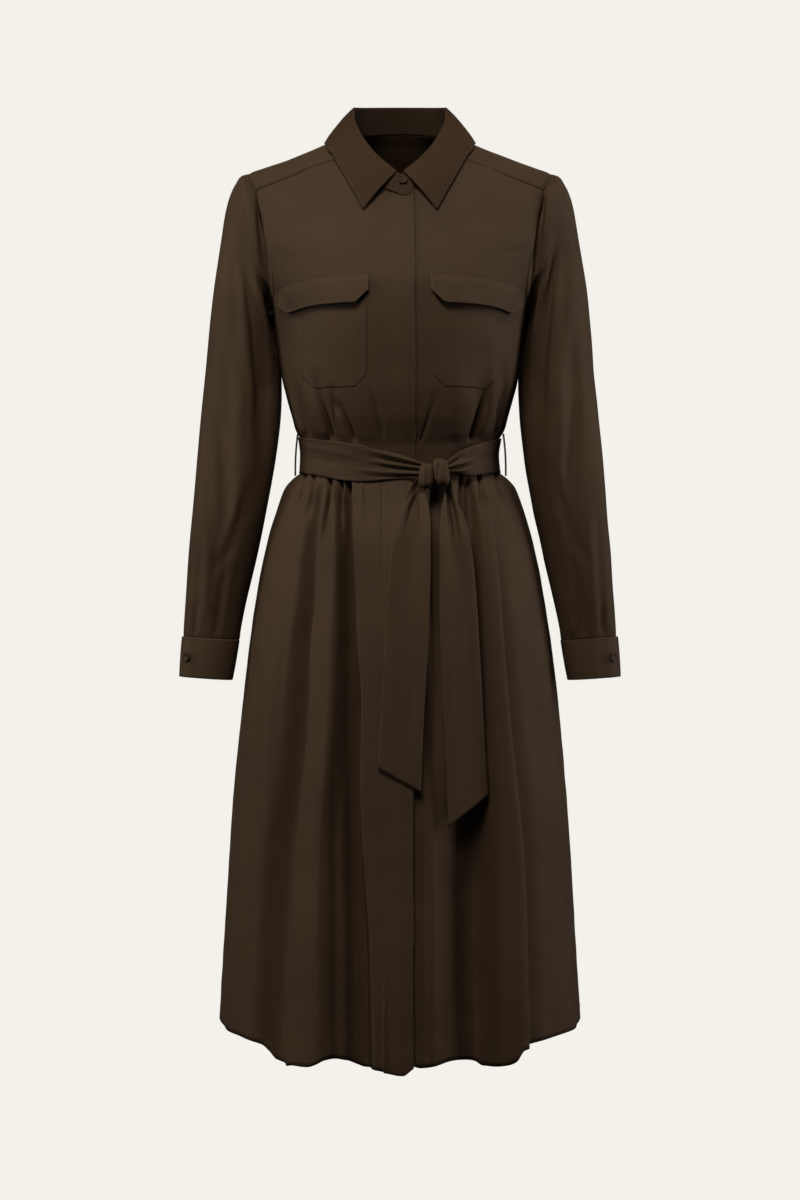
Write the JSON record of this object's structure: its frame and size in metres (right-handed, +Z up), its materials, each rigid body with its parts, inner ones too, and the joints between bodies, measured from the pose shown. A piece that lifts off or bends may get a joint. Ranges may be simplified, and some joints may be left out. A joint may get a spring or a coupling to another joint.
{
  "type": "shirt dress",
  "caption": "Long-sleeved midi shirt dress in dark brown crepe with a pointed collar, flapped chest pockets, covered front placket, gathered skirt and a tied sash.",
  "frame": {"origin": "midway between the high points of the two shoulders, inside the neck opening", "axes": "+Z up along the body, -Y towards the front of the dress, +X towards the wearer's left"},
  "size_m": [0.5418, 0.3934, 1.174],
  "materials": {
    "cloth": "smooth matt crepe",
    "button": "satin resin"
  },
  "bodies": {
    "root": {"yoke": "cloth", "bodice_front_right": "cloth", "bodice_front_left": "cloth", "bodice_back": "cloth", "bodice_placket": "cloth", "skirt_placket": "cloth", "skirt_front_right": "cloth", "skirt_front_left": "cloth", "skirt_back": "cloth", "sleeve_right": "cloth", "sleeve_left": "cloth", "cuff_right": "cloth", "cuff_left": "cloth", "collar_stand": "cloth", "collar_leaf": "cloth", "pocket_right": "cloth", "pocket_left": "cloth", "flap_right": "cloth", "flap_left": "cloth", "belt_band": "cloth", "belt_knot": "cloth", "belt_tail_right": "cloth", "belt_tail_left": "cloth", "belt_loop_right": "cloth", "belt_loop_left": "cloth", "button_collar": "button", "button_cuff_right": "button", "button_cuff_left": "button"}
  },
  "joints": []
}
